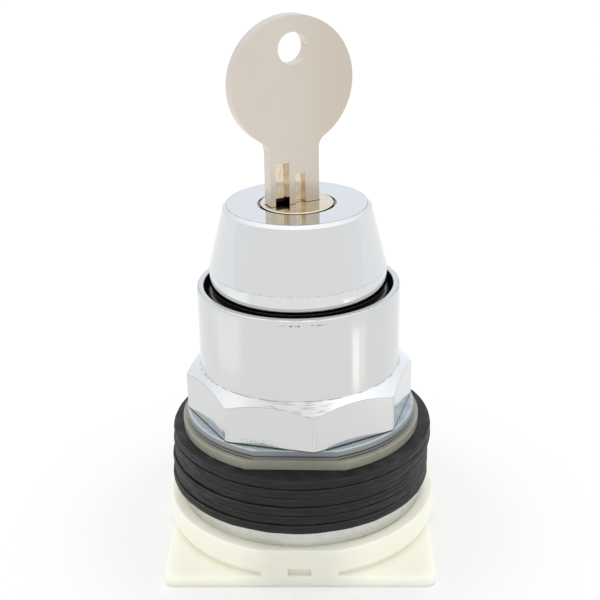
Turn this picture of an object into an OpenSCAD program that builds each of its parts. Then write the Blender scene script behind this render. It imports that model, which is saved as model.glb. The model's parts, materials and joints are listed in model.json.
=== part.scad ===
// Panel-mounted selector key switch with a round-bow key in a wafer lock.
// Origin: centre of the base's rear face. +Z runs along the key, -Y is the side with the flats.
// Units are millimetres. Everything is shown as stored: key in, first of three positions.

/* [Base] */
// Side of the square mounting plate
base_w = 44.1; // [43:0.1:45]
// Thickness of the square mounting plate
base_plate_t = 2; // [1.7:0.1:2.2]
// Corner radius of the square mounting plate
base_corner_r = 1.5; // [0.8:0.1:3]
// Radius of the round boss above the plate
base_boss_r = 22.95; // [22.6:0.05:24]
// Height of the whole base
base_h = 7; // [6.8:0.1:7.6]
// Distance of the two contact-block inserts from the axis
insert_y = 17; // [16.8:0.1:17.4]
// Distance of the two base screws from the axis
base_screw_x = 17.6; // [17:0.1:18]

/* [Barrel] */
// Outer radius of the threaded barrel, for a 30.5 mm panel hole
barrel_r = 15; // [14.9:0.05:15.1]
// Radius of the barrel's flange
flange_r = 20.9; // [20.5:0.1:21.5]
// Thickness of the barrel's flange
flange_t = 3; // [2.8:0.1:3.2]

/* [Seal stack] */
// Radius of each rubber gasket
gasket_r = 22.2; // [21:0.1:22.5]
// Thickness of each rubber gasket
gasket_t = 1.625; // [1.6:0.005:1.65]
// Radius of the plastic insulating ring
insulator_r = 20.1; // [19.8:0.1:20.5]
// Thickness of the plastic insulating ring
insulator_t = 1.6; // [1.5:0.05:1.8]
// Distance from the axis to the flats of the ring and the washer
flat_y = 18.4; // [18.2:0.1:18.8]
// Angle by which those flats are turned out of line with the base
flat_turn = -1.5; // [-3:0.5:3]
// Outer radius of the trim washer
washer_r = 19.4; // [19.3:0.1:20]
// Thickness of the trim washer
washer_t = 1.75; // [1.5:0.05:1.9]

/* [Ring nut] */
// Outer radius of the nut's round collar
collar_r = 16.75; // [16.5:0.05:17]
// Radius over the corners of the nut's eight-sided foot
nut_corner_r = 19.3; // [19:0.05:20]
// Height of the eight-sided foot at its corners
nut_side_h = 6.05; // [5:0.05:6.5]
// Full height of the nut
nut_h = 21.75; // [21.35:0.1:22.15]
// Angle that the foot's corners are turned to
nut_angle = 8; // [0:0.1:22.5]

/* [Cap] */
// Radius of the cap's flat top
cap_top_r = 11.95; // [11.6:0.05:12.2]
// Largest radius of the cap, above its foot band
cap_belt_r = 14.6; // [14.5:0.05:14.7]
// Radius of the cap's foot
cap_foot_r = 14.45; // [14.2:0.05:14.5]
// Height of the cap above its foot
cap_h = 14.15; // [13.95:0.1:14.35]
// Height of the cap's foot band
cap_band_h = 3.55; // [2:0.05:4]

/* [Lock] */
// Radius of the plug's round face
plug_face_r = 5.95; // [5.9:0.05:6.1]
// Radius of the plug's body
plug_r = 5.5; // [5.45:0.05:5.6]
// Number of wafer tumblers
wafer_count = 5; // [3:1:5]

/* [Key] */
// Angle that the key's width is turned to in the stored position
key_angle = 28; // [0:1:60]
// Radius of the round bow
bow_r = 10.4; // [9.5:0.1:11.5]
// Thickness of the key
key_t = 2.2; // [2:0.05:2.25]
// Width of the neck
neck_w = 8.6; // [8.2:0.1:8.8]
// Width of the blade inside the lock
blade_w = 7.6; // [7.2:0.1:7.7]
// Radius of the key ring's hole
ring_hole_r = 2.5; // [2:0.1:3.5]

/* [Switching] */
// Turn of the key from the first position to the last
throw_angle = 120; // [60:60:120]
// Travel of each plunger
plunger_stroke = 3; // [2:0.1:3]
// Distance of the plungers from the axis
plunger_x = 7; // [6.9:0.05:7.1]

/* [Hidden] */

$fn = 96;
cut = 1;                    // how far a cutting solid runs past the face that it opens
fit = 0.05;                 // radial clearance of every running fit

// Heights along the axis, from the base up
flange_z = base_h;
stack_z = flange_z + flange_t;
insulator_z = stack_z + 6 * gasket_t;
washer_z = insulator_z + insulator_t;
nut_z = washer_z + washer_t;
collar_top_z = nut_z + nut_h;
barrel_top_z = collar_top_z - 2.35;
cap_foot_z = collar_top_z - 0.55;
cap_top_z = cap_foot_z + cap_h;

// Base
base_undercut_r = base_boss_r - 0.6;
base_undercut_z = base_plate_t + 0.9;
recess_r = 11.2;            // open recess for the contact block's nose
guide_z = 3;
guide_r = 13.4;
notch_w = 3.8;              // locating notch in the front of the boss
notch_d = 1;
notch_z = [base_plate_t, 3.6];
insert_r = 2.2;
insert_h = 6;
insert_hole_r = 1.25;
base_screw_r = 1.45;
base_screw_head_r = 2.7;
base_screw_head_z = [0.3, 1.9];
base_screw_top_z = flange_z + 2.4;

// Barrel bores, from the bottom: mechanism, lock, cap neck
mechanism_r = 12;
lock_bore_r = 10.9;
neck_r = 12.9;
housing_top_z = 27;
neck_z = 38;
pin_y = 18.3;
pin_r = 1;

washer_round = 0.5;         // rounding of the trim washer's upper edge

// Mechanism
shaft_r = 3;
shaft_flat = 4.6;           // distance across the shaft's two flats
journal_r = 2.4;
shaft_z = [3.6, 10.25, 20.95, 27.6];
tongue = [2, 6, 2.8];
rotor_r = 10.5;
cam_surface_gap = 0.15;     // play between a plunger's nose and the cam
cam_top_z = 18;
wheel_top_z = 20;
housing_z = 21;
stem_r = 1.8;
nose_r = 1.6;
seat_r = 2.8;
hub_r = 3.7;
clip_z = [9.6, 10.2];       // groove and clip under the cam
nose_top_z = 15;            // top of a plunger that is fully up
spring_foot_z = 5;
ball_r = 1.5;
stop_x = 9.6;
stop_r = 0.8;

// Lock
face_z = cap_top_z + 0.15;  // the plug stands a little proud of the cap
plug_step_z = face_z - 2.6;
plug_foot_z = 32;
lock_barrel_z = 31.95;
lock_flange_r = 10.5;
lock_body_r = 9;
clamp_z = [49.2, cap_top_z - 5.5];
cap_plate_t = 1.5;
head_z = cap_top_z - cap_plate_t;   // top of the lock barrel, under the cap's plate
cap_hole_r = plug_face_r + 0.4;
cap_foot_round = 0.9;
tail_r = 4.2;
tail_z = 28.3;
wafer_t = 1;
wafer_pitch = 4;
wafer_half_w = 2.45;
wafer_first_z = 37.5;

// Key
key_shift = -0.8;           // the blade sits off the axis, towards its near edge
bow_z = cap_top_z + 19.65;
ring_hole_z = bow_z + 5.35;
shoulder_r = 2.2;
key_tip_z = 34.6;
keyway_play = 0.15;
cut_depths = [0.6, 1.4, 1.0, 0.5, 1.2];

module tube(outer, inner, z0, z1) {
    translate([0, 0, z0]) difference() {
        cylinder(r = outer, h = z1 - z0);
        translate([0, 0, -cut]) cylinder(r = inner, h = z1 - z0 + 2 * cut);
    }
}

module post(x, y, r, z0, z1) {
    translate([x, y, z0]) cylinder(r = r, h = z1 - z0);
}

module slab(low, high) {
    translate(low) cube(high - low);
}

module in_key_frame() {
    rotate([0, 0, key_angle]) children();
}

// A round wire of radius w wound at radius r from height z0 to z1, as a closed tube
module coil(r, w, turns, z0, z1, steps = 16, sides = 6) {
    rings = turns * steps;
    rise = (z1 - z0 - 2 * w) / rings;
    points = [
        for (i = [0:rings]) for (k = [0:sides - 1])
            let (a = 360 * i / steps, b = 360 * k / sides, q = r + w * cos(b))
            [q * cos(a), q * sin(a), z0 + w + rise * i + w * sin(b)]
    ];
    walls = [
        for (i = [0:rings - 1]) for (k = [0:sides - 1])
            let (m = i * sides, n = m + sides, q = (k + 1) % sides)
            each [[m + k, m + q, n + q], [m + k, n + q, n + k]]
    ];
    ends = [
        [for (k = [sides - 1:-1:0]) k],
        [for (k = [0:sides - 1]) rings * sides + k]
    ];
    polyhedron(points, concat(walls, ends), convexity = 10);
}

module double_d(r, z0, z1) {
    intersection() {
        post(0, 0, r, z0, z1);
        slab([-r - cut, -shaft_flat / 2 - (r - shaft_r), z0], [r + cut, shaft_flat / 2 + (r - shaft_r), z1]);
    }
}

module base_outline() {
    inset = base_w / 2 - base_corner_r;
    square([base_w - 2 * base_corner_r, base_w], center = true);
    square([base_w, base_w - 2 * base_corner_r], center = true);
    for (x = [-inset, inset]) for (y = [-inset, inset]) translate([x, y]) circle(r = base_corner_r);
}

module rear_base() {
    color([0.90, 0.88, 0.78]) difference() {
        union() {
            linear_extrude(height = base_plate_t) base_outline();
            intersection() {
                union() {
                    post(0, 0, base_undercut_r, base_plate_t / 2, base_h);
                    post(0, 0, base_boss_r, base_undercut_z, base_h);
                }
                slab([-30, -base_w / 2, 0], [30, base_w / 2, base_h]);
            }
        }
        post(0, 0, recess_r, -cut, base_h + cut);
        post(0, 0, guide_r + fit, guide_z, base_h + cut);
        slab([-notch_w / 2, -base_w / 2 - cut, notch_z[0]], [notch_w / 2, notch_d - base_w / 2, notch_z[1]]);
        for (s = [-1, 1]) {
            post(0, s * insert_y, insert_r, -cut, insert_h);
            post(s * base_screw_x, 0, base_screw_r, -cut, base_h + cut);
            post(s * base_screw_x, 0, base_screw_head_r, -cut, base_screw_head_z[1]);
        }
    }
}

module contact_block_inserts() {
    color([0.78, 0.62, 0.32]) for (s = [-1, 1]) translate([0, s * insert_y, 0]) {
        tube(insert_r, insert_hole_r, 0, 2.4);
        tube(insert_r - 0.3, insert_hole_r, 2.4, 3.4);
        tube(insert_r, insert_hole_r, 3.4, insert_h);
    }
}

module base_screws() {
    color([0.72, 0.74, 0.76]) for (s = [-1, 1]) translate([s * base_screw_x, 0, 0]) difference() {
        union() {
            post(0, 0, base_screw_head_r - fit, base_screw_head_z[0], base_screw_head_z[1]);
            post(0, 0, base_screw_r, base_screw_head_z[1], base_screw_top_z);
        }
        for (a = [0, 90]) rotate([0, 0, a]) slab([-1.8, -0.3, -cut], [1.8, 0.3, 1.2]);
    }
}

module plunger_guide() {
    color([0.20, 0.20, 0.21]) difference() {
        post(0, 0, guide_r, guide_z, base_h);
        post(0, 0, recess_r, spring_foot_z, base_h + cut);
        post(0, 0, journal_r + fit, 0, base_h);
        for (s = [-1, 1]) post(s * plunger_x, 0, stem_r + fit, 0, base_h);
    }
}

// A plunger whose nose reaches top_z: nose, spring seat and stem
module plunger(side, top_z) {
    seat_top = top_z - 2.2;
    translate([side * plunger_x, 0, 0]) {
        translate([0, 0, top_z - nose_r]) sphere(r = nose_r);
        post(0, 0, nose_r, seat_top, top_z - nose_r);
        post(0, 0, seat_r, seat_top - 0.8, seat_top);
        post(0, 0, stem_r, top_z - 11.4, seat_top);
    }
}

module plunger_left() {
    color([0.86, 0.85, 0.80]) plunger(-1, nose_top_z);
}

module plunger_right() {
    color([0.86, 0.85, 0.80]) plunger(1, nose_top_z - plunger_stroke);
}

module plunger_spring(side, top_z) {
    translate([side * plunger_x, 0, 0]) coil(2.4, 0.2, 6, spring_foot_z, top_z - 3);
}

module plunger_spring_left() {
    color([0.75, 0.76, 0.78]) plunger_spring(-1, nose_top_z);
}

module plunger_spring_right() {
    color([0.75, 0.76, 0.78]) plunger_spring(1, nose_top_z - plunger_stroke);
}

module spacer_sleeve() {
    color([0.80, 0.78, 0.70]) tube(mechanism_r - fit, recess_r, base_h, housing_z);
}

module drive_shaft() {
    color([0.80, 0.66, 0.38]) difference() {
        union() {
            post(0, 0, journal_r, shaft_z[0], shaft_z[1]);
            double_d(shaft_r, shaft_z[1], shaft_z[2]);
            post(0, 0, shaft_r, shaft_z[2], shaft_z[3]);
            in_key_frame() slab(
                [-tongue[1] / 2, -tongue[0] / 2, shaft_z[3] - 0.4],
                [tongue[1] / 2, tongue[0] / 2, shaft_z[3] + tongue[2]]
            );
        }
        tube(shaft_r, journal_r - 0.4, clip_z[0], clip_z[1]);
    }
}

module cam_clip() {
    color([0.45, 0.46, 0.48]) difference() {
        tube(hub_r, journal_r - 0.4, clip_z[0], clip_z[1]);
        slab([-1.4, 0, 9], [1.4, 6, 11]);
    }
}

// Height of the cam's face at angle a: low from 0 to 60 degrees, high from 180 to 240
function cam_z(a) =
    let (low = nose_top_z - plunger_stroke + cam_surface_gap, span = 180 - 60)
    a <= 60 ? low
    : a <= 180 ? low + plunger_stroke * (a - 60) / span
    : a <= 240 ? low + plunger_stroke
    : low + plunger_stroke * (360 - a) / span;

module cam_ring(r0, r1, top_z, steps = 60) {
    points = [
        for (i = [0:steps - 1])
            let (a = 360 * i / steps, z = cam_z(a))
            each [
                [r0 * cos(a), r0 * sin(a), z], [r1 * cos(a), r1 * sin(a), z],
                [r1 * cos(a), r1 * sin(a), top_z], [r0 * cos(a), r0 * sin(a), top_z]
            ]
    ];
    walls = [
        for (i = [0:steps - 1]) for (k = [0:3])
            let (m = 4 * i, n = 4 * ((i + 1) % steps), q = (k + 1) % 4)
            each [[m + k, n + q, n + k], [m + k, m + q, n + q]]
    ];
    polyhedron(points, walls, convexity = 6);
}

module switch_cam() {
    color([0.88, 0.86, 0.80]) difference() {
        union() {
            cam_ring(shaft_r + 0.3, rotor_r - 0.5, cam_top_z - 0.5);
            post(0, 0, hub_r, shaft_z[1], cam_top_z);
            post(0, 0, rotor_r, cam_top_z - 1.5, cam_top_z);
        }
        double_d(shaft_r + 0.02, 10, cam_top_z + cut);
    }
}

module detent_wheel() {
    reach = asin((stop_r + 0.1) / stop_x);
    color([0.30, 0.31, 0.33]) difference() {
        post(0, 0, rotor_r, cam_top_z, wheel_top_z);
        double_d(shaft_r + 0.02, cam_top_z - cut, wheel_top_z + cut);
        for (a = [30:60:330]) rotate([0, 0, a]) translate([plunger_x, 0, wheel_top_z + 1.2]) sphere(r = 1.6);
        rotate([0, 0, -throw_angle - reach]) translate([0, 0, cam_top_z - cut])
            rotate_extrude(angle = throw_angle + 2 * reach)
                translate([stop_x - stop_r - 0.2, 0]) square([3, 2 + 2 * cut]);
    }
}

module thrust_washer() {
    color([0.82, 0.68, 0.40]) tube(5.2, shaft_r + fit, wheel_top_z + 0.1, housing_z - 0.1);
}

module detent_housing() {
    color([0.22, 0.22, 0.23]) difference() {
        post(0, 0, mechanism_r - fit, housing_z, housing_top_z);
        post(0, 0, shaft_r + fit, housing_z - cut, housing_top_z + cut);
        post(stop_x, 0, stop_r, housing_z - cut, housing_z + 2.5);
        for (s = [-1, 1]) post(0, s * plunger_x, ball_r + fit, housing_z - cut, housing_z + 5);
    }
}

module detent_balls() {
    color([0.80, 0.81, 0.83]) for (s = [-1, 1])
        translate([0, s * plunger_x, wheel_top_z + fit + ball_r]) sphere(r = ball_r);
}

module detent_springs() {
    color([0.75, 0.76, 0.78]) for (s = [-1, 1])
        translate([0, s * plunger_x, 0]) coil(1.2, 0.15, 5, wheel_top_z + 2 * ball_r + 0.1, housing_z + 5, 12);
}

module stop_pin() {
    color([0.62, 0.63, 0.65]) post(stop_x, 0, stop_r, cam_top_z + 0.3, housing_z + 2.5);
}

module threaded_barrel() {
    color([0.76, 0.79, 0.80]) difference() {
        union() {
            post(0, 0, flange_r, flange_z, stack_z);
            post(0, 0, barrel_r, flange_z, barrel_top_z);
        }
        post(0, 0, mechanism_r, flange_z - cut, housing_top_z);
        post(0, 0, lock_bore_r, flange_z, barrel_top_z);
        post(0, 0, neck_r + fit, neck_z, barrel_top_z + cut);
        post(0, pin_y, pin_r, flange_z + 1.4, stack_z + cut);
        for (s = [-1, 1]) post(s * base_screw_x, 0, base_screw_r, flange_z - cut, base_screw_top_z);
    }
}

module locating_pin() {
    color([0.62, 0.63, 0.65]) post(0, pin_y, pin_r, flange_z + 1.4, insulator_z + 1.2);
}

module panel_gasket(i) {
    z = stack_z + (i - 1) * gasket_t;
    color([0.13, 0.12, 0.12]) difference() {
        tube(gasket_r, barrel_r + 0.2, z, z + gasket_t);
        post(0, pin_y, pin_r + 0.2, z - cut, z + gasket_t + cut);
    }
}

module panel_gasket_1() {
    panel_gasket(1);
}

module panel_gasket_2() {
    panel_gasket(2);
}

module panel_gasket_3() {
    panel_gasket(3);
}

module panel_gasket_4() {
    panel_gasket(4);
}

module panel_gasket_5() {
    panel_gasket(5);
}

module panel_gasket_6() {
    panel_gasket(6);
}

module insulating_ring() {
    color([0.80, 0.78, 0.62]) difference() {
        tube(insulator_r, barrel_r + 0.25, insulator_z, washer_z);
        rotate([0, 0, flat_turn]) slab([-30, -30, insulator_z - cut], [30, -flat_y, washer_z + cut]);
        post(0, pin_y, pin_r + 0.2, insulator_z - cut, insulator_z + 1.4);
    }
}

module trim_washer() {
    color([0.70, 0.75, 0.78]) difference() {
        rotate_extrude() polygon([
            [barrel_r + 0.3, washer_z], [washer_r, washer_z], [washer_r, nut_z - washer_round],
            [washer_r - 0.3 * washer_round, nut_z - 0.3 * washer_round],
            [washer_r - washer_round, nut_z], [barrel_r + 0.3, nut_z]
        ]);
        rotate([0, 0, flat_turn]) slab([-30, -30, washer_z - cut], [30, 0.25 - flat_y, nut_z + cut]);
    }
}

module ring_nut() {
    corner_z = nut_z + nut_side_h;
    cone_slope = tan(38);
    turned_r = nut_corner_r - 0.12;
    color([0.88, 0.89, 0.90]) difference() {
        union() {
            intersection() {
                rotate([0, 0, nut_angle]) translate([0, 0, nut_z - cut])
                    cylinder(r = nut_corner_r, h = nut_h, $fn = 8);
                rotate_extrude() polygon([
                    [0, nut_z], [turned_r, nut_z], [turned_r, corner_z],
                    [collar_r - 0.5, corner_z + (turned_r - collar_r + 0.5) * cone_slope],
                    [0, corner_z + (turned_r - collar_r + 0.5) * cone_slope]
                ]);
            }
            rotate_extrude() polygon([
                [0, nut_z + 0.5], [collar_r, nut_z + 0.5], [collar_r, collar_top_z - 0.5],
                [collar_r - 0.15, collar_top_z - 0.15], [collar_r - 0.5, collar_top_z], [0, collar_top_z]
            ]);
        }
        post(0, 0, barrel_r + fit, nut_z - cut, collar_top_z + cut);
        post(0, 0, collar_r - 1.15, barrel_top_z - 1, collar_top_z + cut);
    }
}

module cap_seal() {
    color([0.10, 0.10, 0.10]) tube(barrel_r - fit, neck_r + fit, barrel_top_z, cap_foot_z - 0.3);
}

module lock_cap() {
    color([0.88, 0.89, 0.91]) rotate_extrude() polygon([
        [cap_hole_r, head_z], [cap_hole_r, cap_top_z],
        [cap_top_r - 0.6, cap_top_z], [cap_top_r - 0.2, cap_top_z - 0.15], [cap_top_r, cap_top_z - 0.5],
        [cap_belt_r, cap_foot_z + cap_band_h], [cap_foot_r, cap_foot_z + cap_foot_round],
        [cap_foot_r - 0.3 * cap_foot_round, cap_foot_z + 0.3 * cap_foot_round],
        [cap_foot_r - cap_foot_round, cap_foot_z],
        [neck_r, cap_foot_z], [neck_r, neck_z], [lock_flange_r + 0.1, neck_z],
        [lock_flange_r + 0.1, head_z]
    ]);
}

module lock_clamp_ring() {
    color([0.70, 0.72, 0.74]) difference() {
        tube(lock_flange_r + fit, lock_body_r + fit, clamp_z[0], clamp_z[1]);
        slab([-20, -1, clamp_z[0] - cut], [20, 1, clamp_z[0] + 1.2]);
    }
}

module barrel_o_ring() {
    color([0.10, 0.10, 0.11]) translate([0, 0, clamp_z[1] + 2]) rotate_extrude()
        translate([lock_flange_r - 0.35, 0]) circle(r = 0.42, $fn = 24);
}

module lock_barrel() {
    color([0.74, 0.75, 0.76]) difference() {
        union() {
            post(0, 0, lock_body_r, lock_barrel_z, head_z);
            post(0, 0, lock_flange_r, clamp_z[1], head_z);
        }
        post(0, 0, plug_r + fit, 0, 100);
        post(0, 0, plug_face_r + fit, plug_step_z - fit, 100);
        tube(lock_flange_r + cut, lock_flange_r - 0.8, clamp_z[1] + 1.5, clamp_z[1] + 2.5);
        in_key_frame() slab([-7.4, -3, lock_barrel_z + 2.5], [7.4, 3, plug_step_z - 1]);
    }
}

module keyway() {
    left = key_shift - blade_w / 2 - keyway_play;
    right = key_shift + blade_w / 2 + keyway_play;
    half_t = key_t / 2 + keyway_play;
    slab([left, -half_t, key_tip_z - 0.6], [right, half_t, face_z + cut]);
    mouth = neck_w / 2 + keyway_play;
    slab([key_shift - mouth, -half_t, plug_step_z + 0.1], [key_shift + mouth, half_t, face_z + cut]);
}

module wafer_slots() {
    for (i = [0:wafer_count - 1]) {
        z = wafer_first_z + i * wafer_pitch;
        slab([-plug_r - cut, -wafer_half_w - fit, z - wafer_t / 2 - fit], [plug_r + cut, wafer_half_w + fit, z + wafer_t / 2 + fit]);
        slab([-2.6, 2, z - wafer_t / 2 - fit], [2.5, 4.6, z + wafer_t / 2 + fit]);
    }
}

module lock_plug() {
    color([0.86, 0.82, 0.72]) in_key_frame() difference() {
        union() {
            rotate_extrude() polygon([
                [0, plug_step_z], [plug_face_r, plug_step_z], [plug_face_r, face_z - 0.45],
                [plug_face_r - 0.12, face_z - 0.15], [plug_face_r - 0.45, face_z], [0, face_z]
            ]);
            post(0, 0, plug_r, plug_foot_z, plug_step_z);
            post(0, 0, tail_r, tail_z, plug_foot_z);
        }
        keyway();
        wafer_slots();
        tube(tail_r + cut, tail_r - 1, 31.2, 31.9);
        slab([-tail_r - cut, -tongue[0] / 2 - 0.1, tail_z - cut], [tail_r + cut, tongue[0] / 2 + 0.1, 30.6]);
    }
}

module wafer_tumblers() {
    half_t = key_t / 2 + keyway_play + 0.05;
    left = key_shift - blade_w / 2 - keyway_play;
    right = key_shift + blade_w / 2 + keyway_play;
    color([0.80, 0.65, 0.36]) in_key_frame() for (i = [0:wafer_count - 1]) {
        z = wafer_first_z + i * wafer_pitch;
        difference() {
            union() {
                intersection() {
                    post(0, 0, plug_r - 0.1, z - wafer_t / 2, z + wafer_t / 2);
                    slab([-plug_r, -wafer_half_w, z - wafer_t / 2], [plug_r, wafer_half_w, z + wafer_t / 2]);
                }
                slab([1.4, 2, z - wafer_t / 2], [2.4, 4.5, z + wafer_t / 2]);
            }
            slab([left, -half_t, z - wafer_t], [right, half_t, z + wafer_t]);
        }
    }
}

module wafer_springs() {
    color([0.75, 0.76, 0.78]) in_key_frame() for (i = [0:wafer_count - 1])
        translate([-2.55, 3.6, wafer_first_z + i * wafer_pitch]) rotate([0, 90, 0])
            coil(0.36, 0.12, 4, 0, 3.9, 8, 4);
}

module plug_clip() {
    color([0.45, 0.46, 0.48]) in_key_frame() difference() {
        tube(6.4, tail_r - 1, 31.25, 31.85);
        slab([-1.8, 0, 31], [1.8, 8, 32]);
    }
}

// Outline of the key in its own plane: u across the blade, z along the axis
module key_outline() {
    half = neck_w / 2;
    reach = sqrt(pow(bow_r + shoulder_r, 2) - pow(half + shoulder_r, 2));
    shoulder_z = bow_z - reach;
    chamfer = 2.2;
    translate([key_shift, 0]) difference() {
        union() {
            translate([0, bow_z]) circle(r = bow_r);
            translate([-half, plug_step_z + 0.2]) square([neck_w, bow_z - plug_step_z - 5]);
            translate([-half - shoulder_r, shoulder_z])
                square([neck_w + 2 * shoulder_r, shoulder_r * reach / (bow_r + shoulder_r)]);
            polygon([
                [-blade_w / 2, plug_step_z + 1], [-blade_w / 2, key_tip_z + chamfer],
                [-blade_w / 2 + chamfer, key_tip_z], [blade_w / 2 - chamfer, key_tip_z],
                [blade_w / 2, key_tip_z + chamfer], [blade_w / 2, plug_step_z + 1]
            ]);
        }
        for (s = [-1, 1]) translate([s * (half + shoulder_r), shoulder_z]) circle(r = shoulder_r);
        translate([0, ring_hole_z]) circle(r = ring_hole_r);
        for (i = [0:len(cut_depths) - 1]) for (s = [-1, 1]) {
            depth = s > 0 ? cut_depths[i] : 1.8 - cut_depths[i];
            z = wafer_first_z + i * wafer_pitch;
            polygon([
                [s * (blade_w / 2 + 0.5), z - 1 - depth], [s * (blade_w / 2 - depth), z - 0.5],
                [s * (blade_w / 2 - depth), z + 0.5], [s * (blade_w / 2 + 0.5), z + 1 + depth]
            ]);
        }
    }
}

// A milled groove in one face of the blade, from the tip up to top_z
module key_groove(side, u0, u1, depth, top_z) {
    face = key_t / 2;
    low = side < 0 ? -face - cut : face - depth;
    high = side < 0 ? depth - face : face + cut;
    slab([u0, low, key_tip_z - cut], [u1, high, top_z]);
}

module key() {
    color([0.80, 0.77, 0.71]) in_key_frame() difference() {
        translate([0, key_t / 2, 0]) rotate([90, 0, 0]) linear_extrude(height = key_t) key_outline();
        key_groove(-1, -4.25, -1.8, 1.1, cap_top_z + 7.1);
        key_groove(-1, -0.75, 1.05, 0.8, cap_top_z + 5.1);
        key_groove(1, -2.6, -0.2, 0.5, cap_top_z + 5.6);
    }
}

rear_base();
contact_block_inserts();
base_screws();
plunger_guide();
plunger_left();
plunger_right();
plunger_spring_left();
plunger_spring_right();
spacer_sleeve();
drive_shaft();
cam_clip();
switch_cam();
detent_wheel();
thrust_washer();
detent_housing();
detent_balls();
detent_springs();
stop_pin();
threaded_barrel();
locating_pin();
panel_gasket_1();
panel_gasket_2();
panel_gasket_3();
panel_gasket_4();
panel_gasket_5();
panel_gasket_6();
insulating_ring();
trim_washer();
ring_nut();
cap_seal();
lock_cap();
lock_clamp_ring();
barrel_o_ring();
lock_barrel();
lock_plug();
wafer_tumblers();
wafer_springs();
plug_clip();
key();
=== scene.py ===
"""Looks of a panel-mounted selector key switch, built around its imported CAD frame."""
import json
import math

import bpy
from mathutils import Euler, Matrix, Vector


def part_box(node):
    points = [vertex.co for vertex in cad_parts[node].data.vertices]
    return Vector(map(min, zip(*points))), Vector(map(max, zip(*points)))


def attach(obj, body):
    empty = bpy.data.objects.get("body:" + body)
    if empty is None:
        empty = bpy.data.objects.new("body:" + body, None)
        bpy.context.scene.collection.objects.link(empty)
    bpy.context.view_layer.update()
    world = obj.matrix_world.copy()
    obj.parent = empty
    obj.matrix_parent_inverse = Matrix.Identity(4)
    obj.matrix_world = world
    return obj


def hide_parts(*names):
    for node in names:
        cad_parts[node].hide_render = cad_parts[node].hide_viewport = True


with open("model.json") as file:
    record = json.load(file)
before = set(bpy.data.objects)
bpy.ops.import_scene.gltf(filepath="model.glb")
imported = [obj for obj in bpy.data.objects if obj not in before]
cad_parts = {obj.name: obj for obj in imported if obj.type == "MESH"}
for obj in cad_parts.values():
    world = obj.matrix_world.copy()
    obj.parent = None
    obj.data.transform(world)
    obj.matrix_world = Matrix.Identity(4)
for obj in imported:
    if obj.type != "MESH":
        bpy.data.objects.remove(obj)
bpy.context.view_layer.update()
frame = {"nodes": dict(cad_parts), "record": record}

MM = 0.001
ROUND = 160              # edges in a full turn of a turned piece


# ---------------------------------------------------------------- places, from the frame

def low(node):
    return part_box(node)[0]


def high(node):
    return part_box(node)[1]


def body_of(node):
    return next(name for name, nodes in frame["record"]["behaviour"]["bodies"].items() if node in nodes)


def slot_of(node):
    return next(s["material_slot"] for s in frame["record"]["subparts"] if s["node"] == node)


PLUG_TOP = high("lock_plug")[2]
FLAT_TURN = math.radians(-1.5)   # the ring's and the washer's flats sit a little out of line

KEY_ANGLE = math.radians(28)     # turn of the key's width from X
KEY_SHIFT = -0.8 * MM            # of the key's middle from the lock's axis, along its width
KEY_T = 2.2 * MM
KEY_GROOVES = (                  # face, two edges, depth, and height above the cap where it runs out, in mm
    (-1, -3.45, -1.0, 1.1, 7.1),
    (-1, 0.05, 1.85, 0.8, 5.1),
    (1, -1.8, 0.6, 0.5, 5.6),
)
WAFERS_Z = [(37.5 + 4 * i) * MM for i in range(5)]

CAP_TOP = high("lock_cap")[2]
CAP_FLAT_R = 11.45 * MM          # edge of the cap's flat top
CAP_SKIRT_Z = CAP_TOP - 14.15 * MM
CAP_BELT_Z = CAP_SKIRT_Z + 3.6 * MM

NUT_FOOT = low("ring_nut")[2]
NUT_TOP = high("ring_nut")[2]
NUT_COLLAR_R = 16.75 * MM
NUT_MOUTH_R = 15.6 * MM
NUT_CORNER_R = 19.18 * MM        # of the cone that cuts the corners of the foot
NUT_CONE_Z = NUT_FOOT + 6.05 * MM
NUT_JUNCTION_Z = NUT_CONE_Z + (NUT_CORNER_R - NUT_COLLAR_R) * math.tan(math.radians(38))

GASKETS = 6
GASKETS_FOOT = low("panel_gasket_1")[2]
GASKETS_TOP = high("panel_gasket_6")[2]
GASKET_T = (GASKETS_TOP - GASKETS_FOOT) / GASKETS

SHADE_AND_MARK_DARK = (0.03, 0.035, 0.035)   # the dark of the nut's marks, and of the painted shade where plated metal sits on metal


# ---------------------------------------------------------------- modelling helpers

def deselect():
    active = bpy.context.view_layer.objects.active
    if active and active.mode != "OBJECT":
        bpy.ops.object.mode_set(mode="OBJECT")
    bpy.ops.object.select_all(action="DESELECT")


def only(piece):
    deselect()
    piece.select_set(True)
    bpy.context.view_layer.objects.active = piece


def settle(piece):
    """Put the piece's place, turn and size into its mesh."""
    only(piece)
    bpy.ops.object.transform_apply(location=True, rotation=True, scale=True)
    return piece


def new_piece(name):
    piece = bpy.context.object
    piece.name = name
    piece.data.name = name
    return settle(piece)


def block(name, lowest, highest):
    deselect()
    centre = [(a + b) / 2 for a, b in zip(lowest, highest)]
    size = [b - a for a, b in zip(lowest, highest)]
    bpy.ops.mesh.primitive_cube_add(size=1, location=centre, scale=size)
    return new_piece(name)


def rod(name, radius, z0, z1, at=(0, 0), sides=ROUND, turn=0):
    deselect()
    bpy.ops.mesh.primitive_cylinder_add(
        vertices=sides, radius=radius, depth=z1 - z0,
        location=(at[0], at[1], (z0 + z1) / 2), rotation=(0, 0, turn))
    return new_piece(name)


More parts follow.
